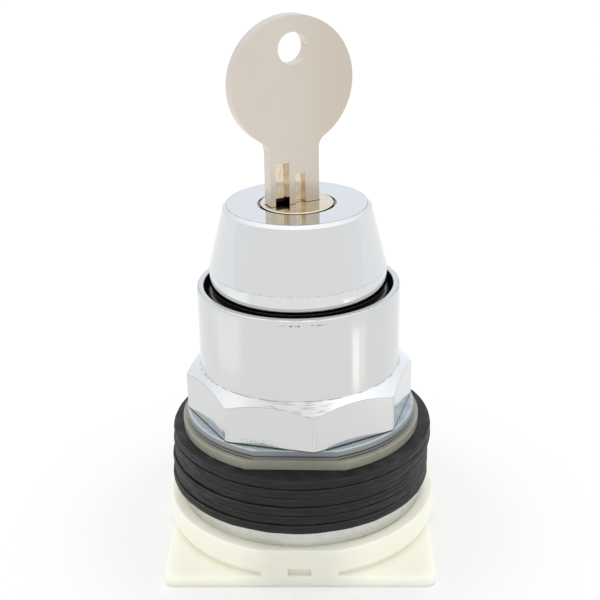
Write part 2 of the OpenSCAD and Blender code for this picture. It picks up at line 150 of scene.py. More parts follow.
def filleted(corners, steps=5):
    """A closed outline of (radius, height, fillet) corners as points, each fillet as an arc."""
    points = []
    count = len(corners)
    for i, (r, z, fillet) in enumerate(corners):
        here = Vector((r, z))
        if not fillet:
            points.append(here)
            continue
        before = (Vector(corners[i - 1][:2]) - here).normalized()
        after = (Vector(corners[(i + 1) % count][:2]) - here).normalized()
        half = before.angle(after) / 2
        reach = fillet / math.tan(half)
        centre = here + (before + after).normalized() * (fillet / math.sin(half))
        start = here + before * reach - centre
        sweep = (here + after * reach - centre)
        full = math.atan2(start.cross(sweep), start.dot(sweep))
        for k in range(steps + 1):
            a = full * k / steps
            c, s = math.cos(a), math.sin(a)
            points.append(centre + Vector((start.x * c - start.y * s, start.x * s + start.y * c)))
    return points


def turned(name, corners, sides=ROUND, steps=5):
    """Turn a closed outline about Z: each ring of edges is extruded, then scaled to its radius."""
    outline = filleted(corners, steps)
    deselect()
    r, z = outline[0]
    bpy.ops.mesh.primitive_circle_add(vertices=sides, radius=r, location=(0, 0, z))
    piece = new_piece(name)
    bpy.ops.object.mode_set(mode="EDIT")
    bpy.ops.mesh.select_all(action="SELECT")
    for next_r, next_z in outline[1:] + outline[:1]:
        bpy.ops.mesh.extrude_region_move(TRANSFORM_OT_translate={"value": (0, 0, next_z - z)})
        bpy.ops.transform.resize(value=(next_r / r, next_r / r, 1), center_override=(0, 0, 0))
        r, z = next_r, next_z
    bpy.ops.mesh.select_all(action="SELECT")
    bpy.ops.mesh.remove_doubles(threshold=0.002 * MM)
    bpy.ops.mesh.normals_make_consistent(inside=False)
    bpy.ops.object.mode_set(mode="OBJECT")
    return piece


def combine(piece, tools, operation="DIFFERENCE"):
    """Cut, join or keep with other pieces, which are used up."""
    for tool in tools:
        only(piece)
        cutter = piece.modifiers.new("combine", "BOOLEAN")
        cutter.operation = operation
        cutter.solver = "EXACT"
        cutter.object = tool
        bpy.ops.object.modifier_apply(modifier=cutter.name)
        bpy.data.objects.remove(tool, do_unlink=True)
    return piece


def slice_off(piece, at, normal):
    """Take away what lies beyond a plane and close the cut."""
    only(piece)
    bpy.ops.object.mode_set(mode="EDIT")
    bpy.ops.mesh.select_all(action="SELECT")
    bpy.ops.mesh.bisect(plane_co=at, plane_no=normal, use_fill=True, clear_outer=True, threshold=1e-7)
    bpy.ops.object.mode_set(mode="OBJECT")
    return piece


def edged(piece, width, segments=3, angle=30, slot=-1):
    """Round every edge sharper than the angle. The rounds can take a material slot of their own."""
    only(piece)
    bevel = piece.modifiers.new("edges", "BEVEL")
    bevel.width = width
    bevel.segments = segments
    bevel.limit_method = "ANGLE"
    bevel.angle_limit = math.radians(angle)
    bevel.harden_normals = False
    bevel.material = slot
    bpy.ops.object.modifier_apply(modifier=bevel.name)
    return piece


def rippled(piece, size, strength):
    """Push the surface in and out by soft noise of the given size."""
    only(piece)
    noise = bpy.data.textures.new("ripple", "CLOUDS")
    noise.noise_scale = size
    ripple = piece.modifiers.new("ripple", "DISPLACE")
    ripple.texture = noise
    ripple.texture_coords = "LOCAL"
    ripple.strength = strength
    ripple.mid_level = 0.5
    bpy.ops.object.modifier_apply(modifier=ripple.name)
    return piece


def moved(piece, by=(0, 0, 0), turn=0):
    piece.location = by
    piece.rotation_euler = (0, 0, turn)
    return settle(piece)


def smooth(piece, angle=30):
    """Smooth shading below the angle, with the normals of the wide faces kept true."""
    only(piece)
    bpy.ops.object.shade_smooth_by_angle(angle=math.radians(angle))
    level = piece.modifiers.new("level", "WEIGHTED_NORMAL")
    level.keep_sharp = True
    level.weight = 100
    bpy.ops.object.modifier_apply(modifier=level.name)
    return piece


def place(piece, node, surface, smooth_angle=30):
    """Let a finished piece stand for a CAD node, on its body and with its material."""
    smooth(piece, smooth_angle)
    if not piece.data.materials:
        piece.data.materials.append(surface)
    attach(piece, body_of(node))
    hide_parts(node)
    slot_of(node)
    return piece


# ---------------------------------------------------------------- materials

class Value:
    """A shader socket that can be used in a Python expression."""

    def __init__(self, surface, socket):
        self.surface, self.socket = surface, socket

    def maths(self, operation, *others):
        return self.surface.node("ShaderNodeMath", {"operation": operation}, [self, *others])

    def __add__(self, other):
        return self.maths("ADD", other)

    def __mul__(self, other):
        return self.maths("MULTIPLY", other)

    def __sub__(self, other):
        return self.maths("SUBTRACT", other)

    def __rsub__(self, other):
        return self.surface.node("ShaderNodeMath", {"operation": "SUBTRACT"}, [other, self])

    __radd__ = __add__
    __rmul__ = __mul__

    def above(self, edge, softness):
        """0 below the edge, 1 above it, with a soft step between."""
        step = {"interpolation_type": "SMOOTHSTEP"}
        return self.surface.node("ShaderNodeMapRange", step, [self, edge - softness, edge + softness])

    def between(self, start, end, softness):
        """1 from start to end, 0 outside."""
        return self.above(start, softness) * (1.0 - self.above(end, softness))


class Graph:
    """A node tree whose sockets are written as Values."""

    def __init__(self, tree, shader):
        self.tree = tree
        self.shader = tree.nodes[shader]

    def feed(self, socket, value):
        if isinstance(value, Value):
            self.tree.links.new(value.socket, socket)
        elif socket.type == "RGBA" and len(value) == 3:
            socket.default_value = (*value, 1)
        else:
            socket.default_value = value

    def set(self, socket, value):
        self.feed(self.shader.inputs[socket], value)

    def node(self, kind, settings=None, inputs=None, output=0):
        node = self.tree.nodes.new(kind)
        for key, value in (settings or {}).items():
            setattr(node, key, value)
        pairs = inputs.items() if isinstance(inputs, dict) else enumerate(inputs or [])
        for key, value in pairs:
            self.feed(node.inputs[key], value)
        return Value(self, node.outputs[output])

    def mix(self, factor, a, b):
        return self.node("ShaderNodeMix", {"data_type": "RGBA"}, {0: factor, 6: a, 7: b}, output=2)


class Surface(Graph):
    """One material: its principled shader and the nodes that feed it."""

    def __init__(self, name, **fixed):
        self.material = bpy.data.materials.new(name)
        self.material.use_nodes = True
        super().__init__(self.material.node_tree, "Principled BSDF")
        for socket, value in fixed.items():
            self.set(socket.replace("_", " "), value)

    def place(self, scale=(1, 1, 1), turn=0.0):
        """Object coordinates, in millimetres, scaled and turned about Z."""
        coords = self.node("ShaderNodeTexCoord", output="Object")
        size = [s / MM for s in scale]
        return self.node("ShaderNodeMapping", {"vector_type": "POINT"},
                         {"Vector": coords, "Scale": size, "Rotation": (0, 0, turn)})

    def axis(self, which, place=None):
        return self.node("ShaderNodeSeparateXYZ", None, [place or self.place()], output=which)

    def radius(self):
        """Distance from the Z axis, in millimetres."""
        x, y = self.axis("X"), self.axis("Y")
        return (x * x + y * y).maths("POWER", 0.5)

    def slope(self):
        """1 where the surface faces straight up, 0 where it stands upright, -1 where it faces down."""
        normal = self.node("ShaderNodeNewGeometry", output="Normal")
        return self.node("ShaderNodeSeparateXYZ", None, [normal], output="Z")

    def noise(self, size, detail=3.0, stretch=(1, 1, 1), turn=0.0, distortion=0.0):
        """Soft noise, 0 to 1, with blobs about size millimetres across, times stretch along each axis."""
        scale = [1 / (size * s) for s in stretch]
        return self.node("ShaderNodeTexNoise", None, {
            "Vector": self.place(scale, turn), "Scale": 1.0, "Detail": detail,
            "Roughness": 0.5, "Distortion": distortion})

    def bump(self, height, strength, depth_mm):
        self.set("Normal", self.node("ShaderNodeBump", None, {
            "Strength": strength, "Distance": depth_mm * MM, "Height": height}))


def chrome_plate():
    """Bright plate: a broken line along the cap's belt and a dark one where its flat top ends."""
    s = Surface("chrome_plate", Metallic=1.0)
    tint = (0.70, 0.705, 0.71)
    haze = s.noise(6.0, 4.0)
    pits = s.noise(0.35, 2.0).above(0.74, 0.03)
    z = s.axis("Z")
    belt_z, flat_r = CAP_BELT_Z / MM, CAP_FLAT_R / MM
    belt = z.between(belt_z - 0.17, belt_z + 0.03, 0.06) * s.noise(0.3, 4.0).above(0.5, 0.08)
    lip = s.radius().between(flat_r - 0.11, flat_r + 0.03, 0.03) * z.above(CAP_TOP / MM - 0.2, 0.05)
    lip = lip * s.noise(2.0, 3.0).above(0.42, 0.1)
    colour = s.mix(haze * 0.5, tint, [c * 0.96 for c in tint])
    colour = s.mix(lip * 0.7, colour, (0.16, 0.16, 0.16))
    s.set("Base Color", s.mix(belt * 0.5, colour, (0.34, 0.34, 0.34)))
    s.set("Roughness", haze * 0.03 + pits * 0.1 + belt * 0.3 + lip * 0.2 + 0.03)
    s.bump(s.noise(9.0, 2.0) + belt * 0.3, 0.15, 0.05)
    return s.material


def chrome_nut():
    """Plate over a coarser casting, with the marks of its making; painted shade at its foot, in the crease
    where cone meets collar and in its bore; a painted dark reflection under its rim; and painted highlights
    and shade across its cone.
    """
    s = Surface("chrome_nut", Metallic=1.0)
    tint = (0.655, 0.655, 0.645)
    haze = s.noise(5.0, 4.0)
    x, z = s.axis("X"), s.axis("Z")
    foot, top, junction_z = NUT_FOOT / MM, NUT_TOP / MM, NUT_JUNCTION_Z / MM

    # painted dark reflection: a broken dark line just below the collar's rim, over the middle of its width
    rim_line = z.between(top - 0.98, top - 0.78, 0.05) * x.between(-2.0, 4.0, 1.5)
    rim_line = rim_line * s.noise(0.6, 3.0).above(0.52, 0.04)
    pits = z.between(foot + 0.3, foot + 1.3, 0.3) * x.between(-9.0, -2.5, 1.0)
    pits = pits * s.noise(0.2, 2.0).above(0.62, 0.04)
    # painted shade: a broken dark line along the crease where the cone meets the collar
    junction = z.between(junction_z - 0.09, junction_z + 0.03, 0.05) * s.noise(1.5, 3.0).above(0.46, 0.06)
    # painted shade: the nut's foot is darkened where it sits on the washer
    seat_shade = 1.0 - z.above(foot + 0.2, 0.05)
    cone = s.slope().above(0.4, 0.1) * (1.0 - z.above(junction_z + 0.25, 0.1))
    hatch = cone * x.between(-5.0, 5.0, 1.5) * s.noise(0.5, 3.0, stretch=(5, 5, 0.3)).above(0.56, 0.05)
    # the real pits and hatching, together with the painted shade and the painted dark reflection
    marks_and_shade = rim_line * 0.8 + pits * 0.8 + junction * 0.5 + seat_shade * 0.9 + hatch * 0.3
    # painted shade: the bore inside the mouth is darkened
    bore = 1.0 - s.radius().above(NUT_MOUTH_R / MM + 0.03, 0.03)

    # painted highlights and shade across the cone: pale to the right, dark in the middle, lighter again at
    # the far left
    painted_sheen = s.mix(x.above(4.5, 3.5), (0.54, 0.54, 0.545), (0.80, 0.80, 0.80))
    painted_sheen = s.mix(x.above(-8.0, 3.0), (0.72, 0.72, 0.72), painted_sheen)
    colour = s.mix(haze * 0.5, tint, [c * 0.95 for c in tint])
    colour = s.mix(cone, colour, painted_sheen)
    colour = s.mix(marks_and_shade, colour, SHADE_AND_MARK_DARK)
    s.set("Base Color", s.mix(bore, colour, (0.05, 0.05, 0.05)))
    s.set("Roughness", haze * 0.06 + marks_and_shade * 0.3 + bore * 0.25 + 0.09)
    s.bump(s.noise(7.0, 2.0) + s.noise(0.8, 3.0) * 0.05 - pits * 0.3, 0.22, 0.08)
    return s.material


def chrome_edge():
    """The nut's edges: bright on the upright ones, painted shade broken up by noise on the others, and
    painted shade where the foot sits.
    """
    s = Surface("chrome_edge", Metallic=1.0)
    wear_and_shade = s.noise(0.7, 3.0)
    tipped = s.slope().maths("ABSOLUTE").above(0.15, 0.1)
    # painted shade on the tilted edges, broken up by noise
    painted_edge_shade = s.mix(wear_and_shade, (0.08, 0.085, 0.085), (0.42, 0.43, 0.43))
    colour = s.mix(tipped, (0.56, 0.565, 0.56), painted_edge_shade)
    # painted shade where the foot sits
    seat_shade = 1.0 - s.axis("Z").above(NUT_FOOT / MM + 0.2, 0.05)
    s.set("Base Color", s.mix(seat_shade * 0.9, colour, SHADE_AND_MARK_DARK))
    s.set("Roughness", wear_and_shade * 0.2 + 0.2)
    s.bump(wear_and_shade, 0.2, 0.02)
    return s.material


def nickel_key():
    """Brushed along its length. Its milled grooves show the yellower alloy, still bright from the cutter."""
    s = Surface("nickel_key", Metallic=1.0)
    grain = s.noise(0.10, 3.0, stretch=(1, 1, 60), turn=-KEY_ANGLE)
    cutter = s.noise(0.25, 2.0, stretch=(1, 1, 6), turn=-KEY_ANGLE)
    cloud = s.noise(5.0, 3.0)
    flat = s.place(turn=-KEY_ANGLE)
    across, through, z = s.axis("X", flat), s.axis("Y", flat), s.axis("Z")
    groove = through.between(-1.05, 0.3, 0.02) * across.between(-4.35, 1.15, 0.02)
    groove = groove * (1.0 - z.above(CAP_TOP / MM + 7.2, 0.02))
    face_z = PLUG_TOP / MM
    keyway_shadow = z.between(face_z - 0.3, face_z + 1.0, 0.05) * (1.0 - across.above(-1.5, 0.05))

    colour = s.mix(cloud, (0.64, 0.58, 0.505), (0.61, 0.55, 0.475))
    colour = s.mix(grain.above(0.5, 0.2) * 0.45, colour, (0.70, 0.64, 0.56))
    # painted shade: darker and warmer towards the right of the key's width
    colour = s.mix(across.above(3.0, 7.0) * 0.7, colour, (0.565, 0.49, 0.41))
    alloy = s.mix(cutter.above(0.5, 0.12), (0.66, 0.56, 0.43), (0.78, 0.69, 0.55))
    colour = s.mix(groove, colour, alloy)
    s.set("Base Color", s.mix(groove * keyway_shadow, colour, (0.02, 0.017, 0.013)))
    s.set("Roughness", (grain * 0.14 + 0.17) * (1.0 - groove) + groove * 0.06)
    s.bump(grain + cloud * 0.3, 0.35, 0.03)
    return s.material


def nickel_plug():
    s = Surface("nickel_plug", Metallic=1.0)
    lathe = s.noise(0.3, 3.0)
    s.set("Base Color", s.mix(s.noise(2.0, 3.0), (0.74, 0.68, 0.56), (0.66, 0.57, 0.41)))
    s.set("Roughness", lathe * 0.08 + 0.08)
    s.bump(lathe, 0.2, 0.01)
    return s.material


def zinc_plate(name, tint, pale, spotted):
    """Cloudy zinc, with spots as strong as spotted says, and a dark line of painted shade by the flange's
    seat.
    """
    s = Surface(name, Metallic=0.9)
    cloud = s.noise(3.5, 5.0, distortion=0.6)
    spots = s.noise(0.5, 3.0).above(0.66, 0.08) * spotted
    flange_foot = low("threaded_barrel")[2] / MM
    # painted shade: the gap at the flange's foot, on the right side
    seat_shade = (1.0 - s.axis("Z").above(flange_foot + 0.16, 0.05)) * s.axis("X").above(8.0, 4.0)
    colour = s.mix(cloud.above(0.5, 0.25), tint, pale)
    s.set("Base Color", s.mix(seat_shade * 0.8, colour, (0.05, 0.06, 0.07)))
    s.set("Roughness", cloud * 0.16 + spots * 0.18 + 0.20)
    s.bump(s.noise(0.4, 4.0) + spots * 0.4, 0.3, 0.03)
    return s.material


def washer_plate():
    """Blue-white on its flat top and dull grey on its rim, as painted highlight and painted shade on one
    zinc, with painted shade in the groove round it.
    """
    s = Surface("washer_plate", Metallic=0.9)
    cloud = s.noise(3.5, 5.0, distortion=0.6)
    z = s.axis("Z")
    foot = low("trim_washer")[2] / MM
    # painted highlight: the flat top is paler than the rim
    top = z.above(foot + 1.6, 0.08)
    # painted shade in the groove round the rim
    groove = z.between(foot + 0.45, foot + 0.75, 0.1)
    pale = s.mix(cloud.above(0.5, 0.25), (0.38, 0.44, 0.48), (0.52, 0.57, 0.59))
    # painted shade: the rim is darker than the top
    side = s.mix(groove, (0.27, 0.28, 0.28), (0.10, 0.105, 0.11))
    s.set("Base Color", s.mix(top, side, pale))
    s.set("Roughness", cloud * 0.16 - top * 0.1 + 0.30)
    s.bump(s.noise(0.4, 4.0), 0.3, 0.03)
    return s.material


def black_rubber():
    """Rubber sheet: dusty, with a paler band near the top of each sheet's edge, and painted shade in the
    seams between the sheets and on the front.
    """
    s = Surface("black_rubber", Specular_IOR_Level=0.24)
    dust = s.noise(1.4, 5.0, stretch=(3, 3, 0.4)).above(0.55, 0.2)
    grit = s.noise(0.12, 4.0)
    streak = s.noise(2.5, 4.0, stretch=(1, 1, 0.05))
    x, y, z = (s.axis(which) for which in "XYZ")
    sheet = ((z - GASKETS_FOOT / MM) * (MM / GASKET_T)).maths("FRACT")
    lip = sheet.between(0.80, 0.90, 0.05) * streak.above(0.5, 0.15)
    # painted shade in the seams between the sheets
    seam = (1.0 - sheet.between(0.05, 0.95, 0.05)) * (1.0 - z.above(GASKETS_TOP / MM - 0.25, 0.05))
    # painted shade: darker at the front
    front = x.between(-12.0, 12.0, 6.0) * (1.0 - y.above(-10.0, 3.0))

    colour = s.mix(dust, (0.012, 0.011, 0.011), (0.032, 0.028, 0.028))
    colour = s.mix(streak.above(0.58, 0.12) * 0.5, colour, (0.060, 0.054, 0.054))
    colour = s.mix(lip * 0.5, colour, (0.11, 0.10, 0.10))
    colour = s.mix(front * 0.55, colour, (0.008, 0.008, 0.008))
    s.set("Base Color", s.mix(seam * 0.8, colour, (0.003, 0.003, 0.003)))
    s.set("Roughness", grit * 0.2 + 0.48)
    s.bump(grit * 0.4 + streak * 0.6, 0.6, 0.12)
    return s.material


def seal_rubber():
    s = Surface("seal_rubber", Specular_IOR_Level=0.5)
    grit = s.noise(0.5, 4.0)
    s.set("Base Color", s.mix(grit, (0.010, 0.010, 0.010), (0.030, 0.029, 0.028)))
    s.set("Roughness", grit * 0.2 + 0.22)
    s.bump(grit, 0.5, 0.06)
    return s.material


def clear_plastic():
    s = Surface("clear_plastic", Transmission_Weight=0.35, IOR=1.5)
    cloud = s.noise(4.0, 3.0)
    s.set("Base Color", s.mix(cloud, (0.42, 0.41, 0.32), (0.52, 0.51, 0.41)))
    s.set("Roughness", cloud * 0.15 + 0.22)
    s.bump(s.noise(0.3, 3.0), 0.2, 0.02)
    return s.material


def natural_nylon():
    # the emission strength makes the plastic glow faintly: painted light
    s = Surface("natural_nylon", Subsurface_Weight=0.6, Subsurface_Scale=0.004,
                Subsurface_Radius=(1.0, 0.95, 0.7), IOR=1.5, Emission_Strength=0.12)
    cloud = s.noise(9.0, 3.0)
    milk = s.mix(cloud, (0.78, 0.765, 0.64), (0.84, 0.83, 0.74))
    # painted shade: a darker patch on the front of the base, round its middle
    front_shade_patch = s.axis("X").between(-8.0, 8.0, 5.0) * (1.0 - s.axis("Y").above(-20.0, 1.5))
    milk = s.mix(front_shade_patch * 0.6, milk, (0.60, 0.60, 0.53))
    s.set("Base Color", milk)
    # painted light: the glow takes the plastic's own colour
    s.set("Emission Color", milk)
    s.set("Roughness", cloud * 0.15 + 0.22)
    s.bump(s.noise(0.5, 3.0) + s.noise(5.0, 2.0), 0.10, 0.02)
    return s.material


def moulded(name, dark, pale):
    s = Surface(name)
    cloud = s.noise(3.0, 4.0)
    s.set("Base Color", s.mix(cloud, dark, pale))
    s.set("Roughness", s.noise(0.4, 3.0) * 0.2 + 0.35)
    s.bump(s.noise(0.25, 3.0), 0.25, 0.02)
    return s.material


def metal(name, dark, pale, roughness):
    s = Surface(name, Metallic=1.0)
    lathe = s.noise(0.15, 3.0, stretch=(6, 6, 1))
    s.set("Base Color", s.mix(s.noise(2.0, 3.0), dark, pale))
    s.set("Roughness", lathe * 0.15 + roughness)
    s.bump(lathe, 0.25, 0.015)
    return s.material


SURFACES = {   # by material slot, with the nut's and the washer's finishes under names of their own
    "chrome": chrome_plate(),
    "chrome_nut": chrome_nut(),
    "chrome_edge": chrome_edge(),
    "washer_plate": washer_plate(),
    "nickel_key": nickel_key(),
    "nickel_brass": nickel_plug(),
    "zinc_steel": zinc_plate("zinc_plate", (0.56, 0.61, 0.64), (0.70, 0.72, 0.71), 1.0),
    "zinc_casting": zinc_plate("zinc_casting", (0.60, 0.60, 0.57), (0.66, 0.66, 0.64), 0.1),
    "black_rubber": black_rubber(),
    "seal_rubber": seal_rubber(),
    "clear_plastic": clear_plastic(),
    "natural_nylon": natural_nylon(),
    "black_nylon": moulded("black_nylon", (0.018, 0.018, 0.02), (0.035, 0.035, 0.037)),
    "acetal": moulded("acetal", (0.70, 0.69, 0.63), (0.80, 0.79, 0.74)),
    "brass": metal("brass", (0.62, 0.44, 0.20), (0.74, 0.56, 0.28), 0.18),
    "spring_steel": metal("spring_steel", (0.40, 0.41, 0.43), (0.52, 0.53, 0.55), 0.22),
}


def dress_cad_nodes():
    """Every CAD node takes the material of its slot."""
    for node in frame["nodes"]:
        mesh = bpy.data.objects[node].data
        mesh.materials.clear()
        mesh.materials.append(SURFACES[slot_of(node)])


# ---------------------------------------------------------------- visible pieces

def key():
    """A round bow with a ring hole, a neck, and a blade with grooves on its faces and cuts in its edges."""
    lo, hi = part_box("key")
    bow_r = 10.4 * MM
    bow_z = hi[2] - bow_r
    hole_z = bow_z + 5.35 * MM
    neck = 4.3 * MM
    blade = 3.8 * MM
    fillet = 2.2 * MM
    stop_z = PLUG_TOP - 2.4 * MM
    reach = math.sqrt((bow_r + fillet) ** 2 - (neck + fillet) ** 2)
    shoulder_z = bow_z - reach
    flank_top = shoulder_z + fillet * reach / (bow_r + fillet)
    cut_r = 1.6 * MM
    cut_depths = (0.6, 1.4, 1.0, 0.5, 1.2)
    cut_pair = 1.8

    def across(name, radius, u, z, depth, sides=ROUND):
        """A bar through the key, along its thickness."""
        deselect()
        bpy.ops.mesh.primitive_cylinder_add(
            vertices=sides, radius=radius, depth=depth, location=(u, 0, z), rotation=(math.pi / 2, 0, 0))
        return new_piece(name)

    def bar(name, u0, u1, z0, z1, v0=-KEY_T / 2, v1=KEY_T / 2):
        return block(name, (u0, v0, z0), (u1, v1, z1))

    piece = across("key", bow_r, 0, bow_z, KEY_T)
    combine(piece, [
        bar("neck", -neck, neck, stop_z, bow_z - 5 * MM),
        bar("shoulders", -neck - fillet, neck + fillet, shoulder_z, flank_top),
    ], "UNION")
    combine(piece, [across("shoulder", fillet, s * (neck + fillet), shoulder_z, 2 * KEY_T) for s in (-1, 1)])
    combine(piece, [bar("blade", -blade, blade, lo[2], stop_z + MM)], "UNION")

    cuts = []
    for z, depth in zip(WAFERS_Z, cut_depths):
        for side, d in ((-1, (cut_pair - depth) * MM), (1, depth * MM)):
            cuts.append(across("bitting", cut_r, side * (blade - d + cut_r), z, 2 * KEY_T, sides=4))
    for side in (-1, 1):
        deselect()
        bpy.ops.mesh.primitive_cube_add(
            size=1, location=(side * (blade + 0.1 * MM), 0, lo[2] - 0.1 * MM),
            rotation=(0, math.pi / 4, 0), scale=(3 * MM, 2 * KEY_T, 3 * MM))
        cuts.append(new_piece("tip"))
    cuts.append(across("ring_hole", 2.5 * MM, 0, hole_z, 2 * KEY_T))
    combine(piece, cuts)

    grooves = []
    for side, u0, u1, depth, top in KEY_GROOVES:
        floor = KEY_T / 2 - depth * MM
        v0, v1 = sorted((side * KEY_T, side * floor))
        grooves.append(bar("groove", u0 * MM, u1 * MM, lo[2] - MM, CAP_TOP + top * MM, v0, v1))
    combine(piece, grooves)
    moved(piece, (KEY_SHIFT, 0, 0))
    moved(piece, turn=KEY_ANGLE)
    edged(piece, 0.16 * MM, 2, 50)
    place(piece, "key", SURFACES["nickel_key"])


def lock_cap():
    """A tapered cap with a flat top, a belt near its foot, and a neck that goes down into the nut."""
    lo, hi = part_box("lock_cap")
    foot, belt = lo[2], hi[0]
    roof = CAP_TOP - 1.5 * MM
    rim, rim_drop = 12.08 * MM, 0.5 * MM
    skirt = 14.48 * MM
    neck = 12.9 * MM
    bore = 10.6 * MM
    hole = 6.35 * MM
    piece = turned("lock_cap", [
        (hole, roof, 0), (hole, CAP_TOP, 0.15 * MM), (CAP_FLAT_R, CAP_TOP, 0.08 * MM),
        (rim, CAP_TOP - rim_drop, 0.12 * MM), (belt, CAP_BELT_Z, 0.4 * MM),
        (skirt, CAP_SKIRT_Z, 0.95 * MM), (neck, CAP_SKIRT_Z, 0.1 * MM),
        (neck, foot, 0.2 * MM), (bore, foot, 0), (bore, roof, 0),
    ], sides=192)
    place(piece, "lock_cap", SURFACES["chrome"], 40)


def ring_nut():
    """A round collar on an eight-sided foot, whose upper corners are cut away by a cone."""
    bore = 15.05 * MM
    shelf_z = NUT_TOP - 3.3 * MM
    piece = turned("ring_nut", [
        (bore, NUT_FOOT, 0), (NUT_CORNER_R, NUT_FOOT, 0), (NUT_CORNER_R, NUT_CONE_Z, 0),
        (NUT_COLLAR_R, NUT_JUNCTION_Z, 0.35 * MM), (NUT_COLLAR_R, NUT_TOP, 0.45 * MM),
        (NUT_MOUTH_R, NUT_TOP, 0.2 * MM), (NUT_MOUTH_R, shelf_z, 0), (bore, shelf_z, 0),
    ], sides=256)
    flats = rod("flats", 19.3 * MM, NUT_FOOT - MM, NUT_TOP + MM, sides=8, turn=math.radians(8))
    combine(piece, [flats], "INTERSECT")
    piece.data.materials.append(SURFACES["chrome_nut"])
    piece.data.materials.append(SURFACES["chrome_edge"])
    edged(piece, 0.09 * MM, 2, 18, slot=1)
    place(piece, "ring_nut", SURFACES["chrome_nut"], 35)


def flat_fronted(piece, flat):
    """Cut the piece's front off at a flat, which sits a little out of line."""
    return slice_off(piece, (0, -flat, 0), (math.sin(FLAT_TURN), -math.cos(FLAT_TURN), 0))


def trim_washer():
    """A thick washer with a groove round its rim and a rounded upper edge."""
    lo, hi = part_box("trim_washer")
    foot, top, outer = lo[2], hi[2], hi[0]
    bore = 15.3 * MM
    piece = turned("trim_washer", [
        (bore, foot, 0), (outer - 0.1 * MM, foot, 0.1 * MM),
        (outer - 0.02 * MM, foot + 0.35 * MM, 0.1 * MM), (outer - 0.12 * MM, foot + 0.6 * MM, 0.1 * MM),
        (outer, foot + 0.85 * MM, 0.1 * MM), (outer, top, 0.5 * MM), (bore, top, 0),
    ])
    flat_fronted(piece, 18.15 * MM)
    edged(piece, 0.3 * MM, 4, 50)
    place(piece, "trim_washer", SURFACES["washer_plate"])


def insulating_ring():
    lo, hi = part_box("insulating_ring")
    foot, top, outer = lo[2], hi[2], hi[0]
    bore = 15.25 * MM
    piece = turned("insulating_ring", [
        (bore, foot, 0), (outer, foot, 0.1 * MM), (outer, top, 0.15 * MM), (bore, top, 0),
    ])
    flat_fronted(piece, 18.4 * MM)
    edged(piece, 0.1 * MM, 2, 50)
    place(piece, "insulating_ring", SURFACES["clear_plastic"])


def panel_gaskets():
    """Die-cut sheet rings, none quite round and none quite in line."""
    bore = 15.5 * MM
    seam = 0.02 * MM
    ripple = 0.12 * MM
    shrink = (0.02, 0.14, 0.08, 0.20, 0.02, 0.10)
    slide = (-0.25, -0.12, -0.20, 0.02, 0.16, 0.20)
    for i in range(GASKETS):
        node = f"panel_gasket_{i + 1}"
        lo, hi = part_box(node)
        r = hi[0] - ripple - shrink[i] * MM
        z0, z1 = lo[2] + seam, hi[2] - seam
        piece = turned(node, [
            (bore, z0, 0), (r - 1.5 * MM, z0, 0), (r - 0.02 * MM, z0, 0.2 * MM),
            (r + 0.06 * MM, (z0 + z1) / 2, 0.5 * MM),
            (r - 0.06 * MM, z1, 0.16 * MM), (r - 1.5 * MM, z1, 0), (bore, z1, 0),
        ], sides=320, steps=3)
        moved(piece, turn=i * 1.1)
        rippled(piece, 4 * MM, 0.2 * MM)
        moved(piece, (slide[i] * MM, 0, 0), turn=i * 0.7)
        place(piece, node, SURFACES["black_rubber"], 50)


def threaded_barrel():
    """A flange and a tube with its thread turned as separate ridges, stepped inside."""
    lo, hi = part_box("threaded_barrel")
    foot, top, flange = lo[2], hi[2], hi[0]
    seat_z = foot + 3 * MM
    crest, root = 14.95 * MM, 14.35 * MM
    pitch = 1.5 * MM
    lower_bore, middle_bore, upper_bore = 12 * MM, 10.9 * MM, 12.95 * MM
    corners = [
        (lower_bore, foot, 0), (flange, foot, 0.15 * MM), (flange, seat_z, 0.2 * MM), (root, seat_z, 0),
    ]
    z = seat_z + MM
    while z < top - 1.2 * pitch:
        corners += [(root, z, 0), (crest, z + 0.45 * pitch, 0), (crest, z + 0.55 * pitch, 0)]
        z += pitch
    corners += [
        (root, z, 0), (root, top, 0.1 * MM), (upper_bore, top, 0), (upper_bore, top - 4.5 * MM, 0),
        (middle_bore, top - 4.5 * MM, 0), (middle_bore, foot + 20 * MM, 0), (lower_bore, foot + 20 * MM, 0),
    ]
    piece = turned("threaded_barrel", corners, sides=160, steps=3)
    place(piece, "threaded_barrel", SURFACES["zinc_casting"])


def cap_seal():
    lo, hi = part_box("cap_seal")
    foot, top, outer = lo[2], hi[2], hi[0]
    bore = 12.95 * MM
    piece = turned("cap_seal", [
        (bore, foot, 0), (outer, foot, 0.2 * MM), (outer, top, 0.6 * MM), (bore, top, 0.2 * MM),
    ])
    place(piece, "cap_seal", SURFACES["seal_rubber"])


